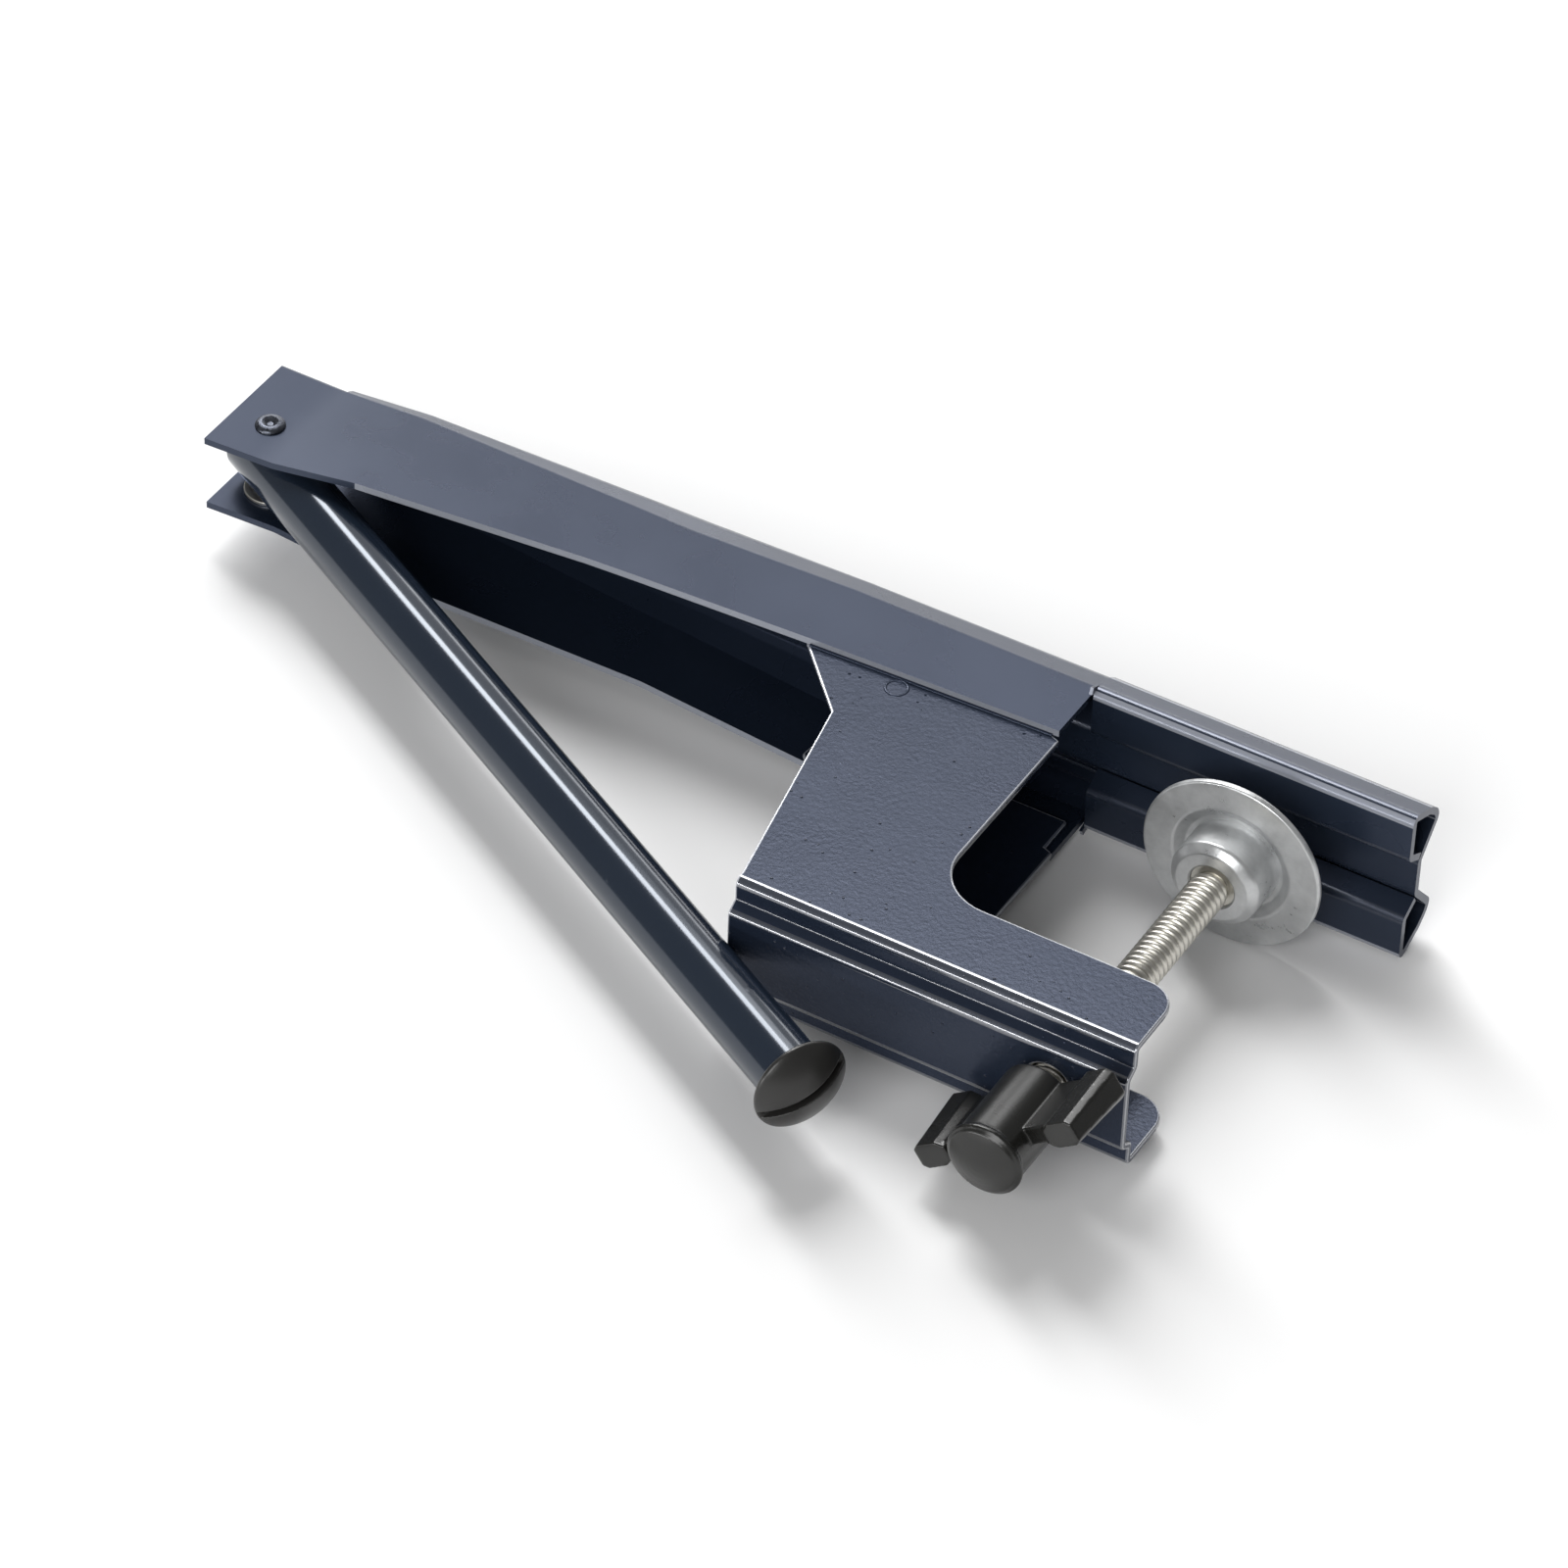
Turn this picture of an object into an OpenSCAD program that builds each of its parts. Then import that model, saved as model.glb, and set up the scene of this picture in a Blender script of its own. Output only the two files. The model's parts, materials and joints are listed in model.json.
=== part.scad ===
/* [Sheet metal] */
// Thickness of the pressed steel sheet of the arm and the bracket
sheet_t = 1.2; // [1:0.1:1.5]

/* [Arm] */
// Length of the arm from the pivot to the tip of the jaw
arm_reach = 200; // [190:1:220]
// Length of the arm's ends beyond the pivot
arm_back = 7; // [6:0.5:10]
// Half width of the arm outside at the pivot
pivot_half_w = 7.1; // [7:0.1:9]
// Half width of the jaw at its two folded edges
jaw_half_w = 15; // [14.5:0.5:17]
// Height of the table seat above the pivot axis
seat_y = 6.7; // [5:0.1:8]
// Height of the arm's ridges above the table seat
ridge_h = 9.5; // [8.5:0.1:11]
// Half distance between the jaw's two ridges
ridge_z = 8.5; // [8:0.1:9]
// Depth of the groove pressed between the ridges
groove_d = 4.9; // [4:0.1:5.2]
// Half width of the floor of that groove
groove_z = 3; // [2:0.1:3.5]
// Where the groove starts, from the pivot
groove_x = 62; // [50:1:80]
// Depth of the arm's side walls below the pivot axis at the pivot
wall_d = 8.3; // [7.5:0.1:10]
// Width of the jaw's folded flaps
flap_w = 9.1; // [8:0.1:9.5]
// Height of the turned-up edge of each flap
flap_lip = 3.5; // [2.5:0.1:3.6]

/* [Bracket] */
// Distance from the pivot to the edge that the table butts against
throat_x = 145.5; // [140:0.5:150]
// Length of the bracket's lower arm beyond the table edge
lower_reach = 42.2; // [38:0.2:50]
// Depth of the bracket's underside below the pivot axis
bracket_d = 56.3; // [52:0.1:60]
// Height of the bracket's lower arm
lower_h = 13.8; // [12:0.1:16]
// Radius of the throat's inner corner
throat_r = 9; // [5:0.5:12]
// Radius of the lower arm's free corner
corner_r = 5; // [2:0.5:6]
// Where the bracket's ear starts, from the pivot
ear_x = 101.6; // [98:0.2:106]
// Width of the bracket's waist, from the notch to the table edge
waist_w = 32.5; // [28:0.5:36]
// Width of the bracket at its underside, from the rear edge to the table edge
foot_w = 25.2; // [20:0.2:26]
// Overlap of the bracket's plates inside the arm's walls, above the pivot axis
tuck_h = 4; // [3:0.5:5]
// Radius of the bracket's lower bends, outside
bend_r = 1.4; // [1.3:0.1:2.5]
// Depth of the rib pressed along the bracket's underside
rib_d = 2; // [1:0.1:2.5]
// Half width of that rib at its root
rib_z = 8.2; // [8:0.1:9]

/* [Screw] */
// Diameter of the clamp screw
screw_d = 6.35; // [5:0.05:7]
// Distance from the table edge to the screw's axis
screw_offset = 29.3; // [27:0.1:32]
// Width of the square weld nut
nut_w = 11.1; // [10.5:0.1:11.5]
// Height of the weld nut
nut_h = 5.5; // [4:0.1:7]
// Gap between the bracket's rib and the knob as drawn
knob_gap = 2.7; // [2:0.1:10]

/* [Pressure pad] */
// Diameter of the pressure disc
disc_d = 30; // [26:0.5:32]
// Thickness of the pressure disc's sheet
disc_t = 1.2; // [0.8:0.1:1.5]
// Height that the disc's middle stands above its rim
disc_rise = 1.2; // [0.8:0.1:1.6]
// Diameter of the disc's raised middle
disc_middle_d = 17; // [16:0.5:20]
// Gap between the pressure disc's middle and the table seat as drawn
pad_gap = 6.4; // [4:0.1:12]
// Diameter of the ball on the screw's end
ball_d = 10; // [9.5:0.1:10.5]
// Diameter of the hub that holds the ball
hub_d = 15; // [14.5:0.1:15.5]

/* [Knob] */
// Distance between the tips of the knob's wings
knob_span = 32.2; // [26:0.1:34]
// Thickness of the wings' ends
wing_t = 5.4; // [4.5:0.1:6.5]
// Thickness of the web between a wing's end and the boss
wing_web_t = 3; // [2.4:0.1:4]
// Height of the wings along the screw
wing_h = 12.5; // [10:0.5:16]
// Diameter of the knob's boss
boss_d = 11.4; // [11:0.1:13]
// Length of the boss below the wings
skirt_h = 3.8; // [3:0.1:6]
// Height of the domed button that closes the boss
button_h = 1.3; // [0.8:0.1:2]
// Angle of the wings about the screw
wing_angle = 36; // [0:1:180]

/* [Net post] */
// Outer diameter of the post's tube
tube_d = 10.5; // [10:0.1:10.8]
// Wall of the tube
tube_wall = 1; // [0.8:0.1:1.2]
// Length of the tube beyond the pivot
tube_len = 163.3; // [155:0.1:170]
// Length of the tube behind the pivot
tube_back = 5.5; // [5:0.1:6]
// Diameter of the cap's head
cap_d = 15.4; // [13:0.1:17]
// Height of the cap's head beyond the tube
cap_len = 4.1; // [3.5:0.1:6]
// Width of the cap's cord slot
slot_w = 1.5; // [1.2:0.1:2.5]
// Depth of the cord slot
slot_d = 3.2; // [2:0.1:4]
// Turn of the slot about the post, from the arm's plane
slot_turn = 21; // [-45:1:45]

/* [Pivot] */
// Diameter of the rivet's shank
rivet_d = 3.4; // [3:0.1:4]
// Diameter of the rivet's heads
rivet_head_d = 5; // [4.5:0.1:6]
// Height of the rivet's heads
rivet_head_h = 0.9; // [0.6:0.1:1.4]
// Diameter of the washers beside the tube
washer_d = 9; // [7:0.1:10]

/* [Hidden] */
$fn = 64;

// Clearances: a turning fit, a gap between parts that move past each other, and a loose fit
run_gap = 0.06;
swing_gap = 0.3;
fit_gap = 0.05;

// Arm: ridge height, and where its side walls end beside the table edge
ridge_y = seat_y + ridge_h;
wall_end_x = throat_x - 0.5;
web_x = tube_d / 2 + swing_gap;
ear_top_y = ridge_y - 2.4;
flare_z = 1.8;
flare_h = 1.5;
wall_half_w = jaw_half_w - flare_z;
joggle_x = ear_x - 2.6;
joggle_len = 3;

// Bracket: its plates lie against the inside of the arm's walls
plate_half_w = wall_half_w - sheet_t - fit_gap;
lower_y = -bracket_d + lower_h;
lower_x = throat_x + lower_reach;
screw_x = throat_x + screw_offset;
rib_y = -bracket_d - rib_d;
floor_y = rib_y + sheet_t;

// Pressure pad, from its middle down along the screw
disc_top_y = seat_y - pad_gap;
disc_under_y = disc_top_y - disc_t;
ball_y = disc_under_y - 3.5;
ball_r = ball_d / 2;
ball_top = 2;
ball_bottom = 3.3;
neck_r = screw_d / 2 - 0.6;
socket_gap = 0.1;
hub_h = 7.3;
hub_mouth_r = ball_r - 0.5;

// Knob, from the bracket down
knob_y = rib_y - knob_gap;
wing_y = knob_y - wing_h;
skirt_y = wing_y - skirt_h;
knob_end_y = skirt_y - button_h;
screw_end_y = wing_y + 1;

// The folded post rests against the rear corner of the bracket's rib
rear_x = throat_x - foot_w;
fold_angle = atan2(-rib_y, rear_x) + asin((tube_d / 2 + swing_gap) / norm([rear_x, rib_y]));

// Cap: height of its rim above the tube, and the radius of its dome
rim_h = 0.9;
dome_r = 11;

// The frame's origin is under the middle of the part, on the surface that it lies on
back_x = max(arm_back, tube_back * cos(fold_angle) + tube_d / 2 * sin(fold_angle));
cap_low = (tube_len + rim_h) * sin(fold_angle) + cap_d / 2 * cos(fold_angle);
origin_x = (arm_reach - back_x) / 2;
origin_y = (ridge_y - cap_low) / 2;

module in_frame() {
    translate([-origin_x, -origin_y, jaw_half_w]) children();
}

// Runs a profile drawn as [z, y] along the arm from x0 to x1
module along_arm(x0, x1) {
    translate([x0, 0, 0]) rotate([0, 90, 0]) linear_extrude(x1 - x0) children();
}

// Stands a solid made along +Z on the screw's axis, with its zero at height y
module on_screw(y) {
    translate([screw_x, y, 0]) rotate([-90, 0, 0]) children();
}

function mix(a, b, t) = a + (b - a) * t;
function unit(v) = v / norm(v);
function left_of(a, b) = let (d = unit(b - a)) [-d.y, d.x];
function arc(c, r, a0, a1, n) = [for (i = [0:n]) c + r * [cos(mix(a0, a1, i / n)), sin(mix(a0, a1, i / n))]];
function mirrored(pts) = [for (i = [len(pts) - 1:-1:0]) [-pts[i].x, pts[i].y]];

// The path moved to its left by t, with mitred corners
function beside(path, t) = [
    for (i = [0:len(path) - 1])
        let (
            n = len(path) - 1,
            n0 = left_of(path[max(i - 1, 0)], path[max(i, 1)]),
            n1 = left_of(path[min(i, n - 1)], path[min(i + 1, n)])
        )
        path[i] + t * (n0 + n1) / (1 + n0 * n1)
];
function reversed(pts) = [for (i = [len(pts) - 1:-1:0]) pts[i]];
function sheet_outline(path) = concat(path, reversed(beside(path, sheet_t)));

// The arm's web as [z, y] points on one side, from the edge where the wall starts to the groove
function web_half(edge_z, edge_y, top_z, dip) = [
    [edge_z, edge_y],
    [mix(edge_z, top_z, 0.42), mix(edge_y, ridge_y, 0.68)],
    [mix(edge_z, top_z, 0.7), mix(edge_y, ridge_y, 0.92)],
    [top_z, ridge_y],
    [groove_z, ridge_y - dip]
];

// One cross-section of the walled part of the arm: the wall's half width, the depth and the top edge
// of the wall, the half width of that edge, the ridge's half width and the groove's depth
function wall_section(wall_z, wall_y, edge_z, edge_y, top_z, dip) =
    let (half = concat([[wall_z, wall_y], [wall_z, edge_y - flare_h]], web_half(edge_z, edge_y, top_z, dip)))
    sheet_outline(concat(half, mirrored(half)));

function edge_y_at(x) = mix(ear_top_y, seat_y, pow((x - web_x) / (wall_end_x - web_x), 0.75));

// Distance from the pivot and cross-section of each station of the walled part
stations = [
    [-arm_back, wall_section(pivot_half_w, -wall_d, pivot_half_w, ear_top_y, pivot_half_w - 2.2, 0)],
    [web_x, wall_section(pivot_half_w, -wall_d + 0.6, pivot_half_w, ear_top_y, pivot_half_w - 2.2, 0)],
    [groove_x / 3, wall_section(mix(pivot_half_w, wall_half_w, 0.35), -wall_d + 1.3,
                                mix(pivot_half_w, wall_half_w, 0.35), edge_y_at(groove_x / 3), 6.4, 0)],
    [groove_x, wall_section(mix(pivot_half_w, wall_half_w, 0.63), -wall_d + 3.7,
                            mix(pivot_half_w, wall_half_w, 0.63), edge_y_at(groove_x), 7.4, 0)],
    [groove_x + 10, wall_section(mix(pivot_half_w, wall_half_w, 0.67), -wall_d + 4.1,
                                 mix(pivot_half_w, wall_half_w, 0.67), edge_y_at(groove_x + 10), 7.5, groove_d)],
    [joggle_x, wall_section(mix(pivot_half_w, wall_half_w, 0.8), -wall_d + 5,
                            mix(pivot_half_w, wall_half_w, 0.8), edge_y_at(joggle_x), 7.9, groove_d)],
    [joggle_x + joggle_len, wall_section(wall_half_w, -wall_d + 3.6, wall_half_w + 0.1,
                                         edge_y_at(joggle_x + joggle_len), 7.9, groove_d)],
    [wall_end_x, wall_section(wall_half_w, -wall_d + 5.4, jaw_half_w, seat_y, ridge_z, groove_d)]
];

// A skin through the stations, closed at both ends
module loft(rings) {
    n = len(rings[0][1]);
    last = len(rings) - 1;
    points = [for (r = rings) for (p = r[1]) [r[0], p.y, p.x]];
    sides = [
        for (k = [0:last - 1]) for (i = [0:n - 1])
            let (a = k * n + i, b = k * n + (i + 1) % n)
            for (f = [[a, b, a + n], [b, b + n, a + n]]) f
    ];
    polyhedron(points, concat(sides, [for (k = [0, last]) for (f = cap_faces(k * n, n, k == 0)) f]));
}

// Triangles across the thin end of a sheet whose outline starts at point a
function cap_faces(a, n, first) = [
    for (i = [0:n / 2 - 2])
        for (f = [[i, i + 1, n - 1 - i], [i + 1, n - 2 - i, n - 1 - i]])
            [for (j = first ? reversed(f) : f) a + j]
];

module jaw_web() {
    half = web_half(jaw_half_w, seat_y, ridge_z, groove_d);
    polygon(sheet_outline(concat(half, mirrored(half))));
}

// A jaw's closed cross-section: the web with its edges folded under as flaps that carry the table seat
module jaw_section() {
    lip_z = jaw_half_w - flap_w;
    flap = [[lip_z - 2, seat_y + flap_lip], [lip_z, seat_y]];
    half = concat(flap, web_half(jaw_half_w, seat_y, ridge_z, groove_d));
    polygon(sheet_outline(concat(half, mirrored(half))));
}

module rivet_hole(d) {
    translate([0, 0, -jaw_half_w]) cylinder(d = d, h = 2 * jaw_half_w);
}

module arm_channel() color("#26303f") in_frame() difference() {
    union() {
        loft(stations);
        along_arm(wall_end_x, throat_x) jaw_web();
        along_arm(throat_x, arm_reach) jaw_section();
    }
    slot_half = pivot_half_w - sheet_t;
    translate([-arm_back - 1, 0, -slot_half]) cube([arm_back + 1 + web_x, ridge_y + 1, 2 * slot_half]);
    translate([-arm_back - 1, ear_top_y, -jaw_half_w]) cube([arm_back + 1 + web_x, ridge_y, 2 * jaw_half_w]);
    rivet_hole(rivet_d + 2 * fit_gap);
}

// The bracket seen along Z: an ear, a notch, the throat that the table enters and the lower arm
module bracket_outline() {
    notch_y = -16.2;
    top_x = throat_x - 1.5;
    fillet_c = [throat_x + throat_r, lower_y + throat_r];
    corner_c = [lower_x - corner_r, lower_y - corner_r];
    polygon(concat(
        [[ear_x + 1, tuck_h], [ear_x, -4.4], [throat_x - waist_w, notch_y], [rear_x, 2 - bracket_d]],
        [[rear_x, rib_y - 0.1], [lower_x, rib_y - 0.1]],
        arc(corner_c, corner_r, 0, 90, 8),
        arc(fillet_c, throat_r, 270, 180, 10),
        [[throat_x, -3.5], [top_x, -3], [top_x, tuck_h]]
    ));
}

// The bracket's folded cross-section: two plates and a floor with a rib pressed out of it
module bracket_section() {
    bend_c = [bend_r - plate_half_w, bend_r - bracket_d];
    half = concat(
        [[-plate_half_w, tuck_h + 1]],
        arc(bend_c, bend_r, 180, 270, 5),
        [[-rib_z, -bracket_d], [1.3 - rib_z, rib_y]]
    );
    polygon(sheet_outline(concat(half, mirrored(half))));
}

module clamp_bracket() color("#26303f") in_frame() difference() {
    intersection() {
        along_arm(ear_x - 1, lower_x + 1) bracket_section();
        translate([0, 0, -plate_half_w - 1]) linear_extrude(2 * plate_half_w + 2) bracket_outline();
    }
    on_screw(rib_y - 1) cylinder(d = screw_d + 1, h = rib_d + sheet_t + 2);
}

module weld_nut() color("#8a8d90") in_frame() difference() {
    translate([screw_x - nut_w / 2, floor_y, -nut_w / 2]) cube([nut_w, nut_h, nut_w]);
    on_screw(floor_y - 1) cylinder(d = screw_d + 2 * run_gap, h = nut_h + 2);
}

module clamp_screw() color("#b9b4a6") in_frame() {
    shoulder_y = ball_y - ball_bottom - run_gap;
    head_y = ball_y + ball_top + run_gap;
    on_screw(screw_end_y) cylinder(d = screw_d, h = shoulder_y - screw_end_y);
    on_screw(shoulder_y) cylinder(r = neck_r, h = head_y - shoulder_y);
    on_screw(head_y) cylinder(d1 = screw_d, d2 = screw_d - 1, h = 0.8);
}

// A wing's thick end tapers towards the boss's button, and a thin web joins it to the boss
module wing() {
    root = boss_d / 2 - 1.5;
    tip = knob_span / 2;
    neck = tip - 4.6;
    taper = [1 - 0.6 / tip, 1 - 1.2 / wing_t];
    mirror([0, 0, 1]) linear_extrude(wing_h, scale = taper, $fn = 4) polygon([
        [neck - 1.6, -wing_web_t / 2], [neck, -wing_t / 2], [tip - 1, -wing_t / 2], [tip, 0.9 - wing_t / 2],
        [tip, wing_t / 2 - 0.9], [tip - 1, wing_t / 2], [neck, wing_t / 2], [neck - 1.6, wing_web_t / 2]
    ]);
    translate([root, -wing_web_t / 2, 1 - wing_h]) cube([neck - root, wing_web_t, wing_h - 1]);
}

module wing_knob() color("#2b2a29") in_frame() difference() {
    union() {
        on_screw(knob_y) for (side = [0, 180]) rotate([0, 0, side - wing_angle]) wing();
        on_screw(skirt_y) rotate_extrude() {
            boss_r = boss_d / 2;
            rim_r = boss_r + 0.5;
            button_r = boss_r + 0.1;
            arch_r = (button_r * button_r + button_h * button_h) / (2 * button_h);
            start = 270 + asin((button_r - 0.3) / arch_r);
            polygon(concat(
                [[0, skirt_h + wing_h]],
                arc([0, arch_r - button_h], arch_r, 270, start, 5),
                [[button_r, 0.3], [rim_r - 0.2, 0.3], [rim_r, 0.5], [rim_r, 1], [boss_r, 1.6], [boss_r, skirt_h + wing_h]]
            ));
        }
    }
    on_screw(screw_end_y) cylinder(d = screw_d + 2 * fit_gap, h = wing_h + 1);
}

module pressure_disc() color("#b8bab8") in_frame() on_screw(0) rotate_extrude() {
    rim_r = disc_d / 2;
    middle_r = disc_middle_d / 2;
    low_y = disc_top_y - disc_rise;
    polygon([
        [0, disc_top_y], [middle_r, disc_top_y], [middle_r + 1.6, low_y], [rim_r, low_y],
        [rim_r, low_y - disc_t], [middle_r + 1.2, low_y - disc_t], [middle_r - 0.4, disc_under_y],
        [0, disc_under_y]
    ]);
}

module swivel_hub() color("#b8bab8") in_frame() difference() {
    on_screw(disc_under_y - hub_h) rotate_extrude() polygon(concat(
        [[0, 0], [hub_mouth_r + 0.7, 0]],
        arc([hub_d / 2 - 2, 2.4], 2, -60, 0, 5),
        [[hub_d / 2, hub_h], [0, hub_h]]
    ));
    on_screw(ball_y) sphere(r = ball_r + socket_gap);
    on_screw(disc_under_y - hub_h - 1) cylinder(r = hub_mouth_r, h = hub_h / 2);
}

module swivel_ball() color("#b9b4a6") in_frame() difference() {
    on_screw(ball_y) sphere(r = ball_r);
    on_screw(ball_y + ball_top) cylinder(r = ball_d, h = ball_d);
    on_screw(ball_y - ball_bottom - ball_d) cylinder(r = ball_d, h = ball_d);
    on_screw(ball_y - ball_d) cylinder(r = neck_r + run_gap, h = 2 * ball_d);
}

// Stands a solid made along +Z on the folded post's axis, with its zero at distance x from the pivot
module on_post(x) {
    rotate([0, 0, -fold_angle]) translate([x, 0, 0]) rotate([0, 90, 0]) children();
}

module net_tube() color("#26303f") in_frame() difference() {
    on_post(-tube_back) cylinder(d = tube_d, h = tube_back + tube_len);
    on_post(-tube_back - 1) cylinder(d = tube_d - 2 * tube_wall, h = tube_back + tube_len + 2);
    rivet_hole(rivet_d + 2 * run_gap);
}

module tube_cap() color("#2b2a29") in_frame() difference() {
    on_post(tube_len) rotate_extrude() {
        rim_r = cap_d / 2;
        plug_r = tube_d / 2 - tube_wall - fit_gap;
        polygon(concat(
            [[0, -12], [plug_r, -12], [plug_r, 0], [rim_r - 0.4, 0], [rim_r, 0.4], [rim_r, rim_h]],
            arc([0, cap_len - dome_r], dome_r, acos((rim_r - 0.5) / dome_r), 90, 6)
        ));
    }
    on_post(tube_len + cap_len - slot_d) rotate([0, 0, slot_turn]) translate([-slot_w / 2, -cap_d, 0])
        cube([slot_w, 2 * cap_d, slot_d + 1]);
}

module pivot_rivet() color("#3a3f47") in_frame() {
    translate([0, 0, -pivot_half_w]) cylinder(d = rivet_d, h = 2 * pivot_half_w);
    for (side = [0, 180]) rotate([side, 0, 0]) translate([0, 0, pivot_half_w]) rotate_extrude() polygon([
        [0, 0], [rivet_head_d / 2, 0], [rivet_head_d / 2, 0.35 * rivet_head_h],
        [0.35 * rivet_head_d, rivet_head_h], [0, rivet_head_h]
    ]);
}

module pivot_washers() color("#8a8d90") in_frame() {
    inner_z = pivot_half_w - sheet_t;
    washer_t = inner_z - tube_d / 2 - run_gap;
    for (side = [0, 180]) rotate([side, 0, 0]) translate([0, 0, inner_z - washer_t]) difference() {
        cylinder(d = washer_d, h = washer_t);
        translate([0, 0, -1]) cylinder(d = rivet_d + 2 * fit_gap, h = washer_t + 2);
    }
}

arm_channel();
clamp_bracket();
weld_nut();
clamp_screw();
wing_knob();
pressure_disc();
swivel_hub();
swivel_ball();
net_tube();
tube_cap();
pivot_rivet();
pivot_washers();
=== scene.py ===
import json
import math
from contextlib import contextmanager

import bmesh
import bpy
from mathutils import Matrix, Vector


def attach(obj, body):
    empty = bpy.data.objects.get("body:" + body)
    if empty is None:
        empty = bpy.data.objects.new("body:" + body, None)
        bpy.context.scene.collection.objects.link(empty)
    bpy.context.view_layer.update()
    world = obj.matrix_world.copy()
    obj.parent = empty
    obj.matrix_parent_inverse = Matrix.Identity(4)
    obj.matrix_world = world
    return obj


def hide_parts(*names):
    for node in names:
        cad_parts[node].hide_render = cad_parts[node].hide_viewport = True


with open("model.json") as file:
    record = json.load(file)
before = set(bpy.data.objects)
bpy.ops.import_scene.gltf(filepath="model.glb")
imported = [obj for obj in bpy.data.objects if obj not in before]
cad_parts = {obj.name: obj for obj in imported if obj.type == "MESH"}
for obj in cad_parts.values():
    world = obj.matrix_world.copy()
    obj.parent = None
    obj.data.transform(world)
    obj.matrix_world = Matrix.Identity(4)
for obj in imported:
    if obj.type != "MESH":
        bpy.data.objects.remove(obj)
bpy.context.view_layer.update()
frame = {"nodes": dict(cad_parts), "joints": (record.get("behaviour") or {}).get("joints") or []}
mm = 0.001
fineMerge = 5e-7  # in metres, as every merge distance

jointPlace = {joint["name"]: Vector(joint["pos_m"]) for joint in frame["joints"] if "pos_m" in joint}
pivot = jointPlace["tube_swing"]  # the middle of the post's pivot
screwX = (jointPlace["screw_turn"] - pivot).x / mm
ballY = (jointPlace["pad_tilt"] - pivot).y / mm
alongY, alongZ = Vector((0, 1, 0)), Vector((0, 0, 1))


# A point given in millimetres from the pivot, in the frame's metres
def at(x, y, z=0.0):
    return pivot + Vector((x, y, z)) * mm


def mix(a, b, t):
    return a + (b - a) * t


def link(name, data):
    obj = bpy.data.objects.new(name, data)
    bpy.context.scene.collection.objects.link(obj)
    return obj


def fromBmesh(name, bm):
    bm.normal_update()
    bmesh.ops.recalc_face_normals(bm, faces=bm.faces)
    mesh = bpy.data.meshes.new(name)
    bm.to_mesh(mesh)
    bm.free()
    return link(name, mesh)


# The mesh that an object's modifiers or a curve's bevel make
def builtMesh(obj):
    graph = bpy.context.evaluated_depsgraph_get()
    graph.update()
    return bpy.data.meshes.new_from_object(obj.evaluated_get(graph))


def freeze(obj):
    mesh = builtMesh(obj)
    obj.modifiers.clear()
    obj.data = mesh
    return obj


# Opens the object's mesh for changes and writes it back
@contextmanager
def edited(obj):
    bm = bmesh.new()
    bm.from_mesh(obj.data)
    yield bm
    bm.to_mesh(obj.data)
    bm.free()


def cleaned(obj, merge=1e-6):
    with edited(obj) as bm:
        bmesh.ops.remove_doubles(bm, verts=bm.verts, dist=merge)
        bmesh.ops.dissolve_degenerate(bm, edges=bm.edges, dist=merge)
        bmesh.ops.recalc_face_normals(bm, faces=bm.faces)
    return obj


# Smooth shading that keeps the sharp edges and lets the broad faces set the normals
def softShade(obj, angle):
    with edited(obj) as bm:
        for face in bm.faces:
            face.smooth = True
        for edge in bm.edges:
            edge.smooth = len(edge.link_faces) == 2 and edge.calc_face_angle(0) < math.radians(angle)
    weighted = obj.modifiers.new("normals", "WEIGHTED_NORMAL")
    weighted.keep_sharp = True
    weighted.weight = 80
    return freeze(obj)


def turnOf(a, b, c):
    return (b.x - a.x) * (c.y - b.y) - (b.y - a.y) * (c.x - b.x)


# The open path with its corners made arcs of the given radii, always with the same count of points
def rounded(points, radii, steps):
    leastTurn, reachShare = 0.02, 0.47
    path = [points[0]]
    for i in range(1, len(points) - 1):
        a, b, c = points[i - 1], points[i], points[i + 1]
        back, ahead = (a - b).normalized(), (c - b).normalized()
        half = math.acos(max(-1, min(1, back.dot(ahead)))) / 2
        if math.pi / 2 - half < leastTurn or radii[i] <= 0:
            path += [b] * (steps + 1)
            continue
        room = min((a - b).length, (c - b).length) * reachShare
        reach = min(radii[i] / math.tan(half), room)
        centre = b + (back + ahead).normalized() * reach / math.cos(half)
        start = b + back * reach - centre
        sweep = math.pi - 2 * half
        sweep = sweep if turnOf(a, b, c) > 0 else -sweep
        for k in range(steps + 1):
            path.append(centre + Matrix.Rotation(sweep * k / steps, 2) @ start)
    path.append(points[-1])
    return path


# The path moved to its left by t, with mitred corners
def beside(path, t):
    sides = []
    for a, b in zip(path, path[1:]):
        along = (b - a).normalized()
        sides.append(Vector((-along.y, along.x)))
    moved = []
    for i, point in enumerate(path):
        before, after = sides[max(i - 1, 0)], sides[min(i, len(sides) - 1)]
        moved.append(point + (before + after) * t / (1 + before.dot(after)))
    return moved


# A folded sheet's cross-section at x, from one side's (z, y) points and the outside radii of its bends
def sheetRing(x, half, radii, thick, steps=4, leastBend=0.15):
    path = [Vector(p) for p in half] + [Vector((-z, y)) for z, y in reversed(half)]
    wide = list(radii) + list(reversed(radii))
    tight = [max(r - thick, leastBend) if r > 0 else 0 for r in wide]
    left = [False] + [turnOf(*path[i - 1:i + 2]) > 0 for i in range(1, len(path) - 1)] + [False]
    skin = rounded(path, [w if isLeft else t for w, t, isLeft in zip(wide, tight, left)], steps)
    backRadii = [t if isLeft else w for w, t, isLeft in zip(wide, tight, left)]
    back = rounded(beside(path, thick), backRadii, steps)
    return [(x, p.y, p.x) for p in skin] + [(x, p.y, p.x) for p in reversed(back)]


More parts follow.
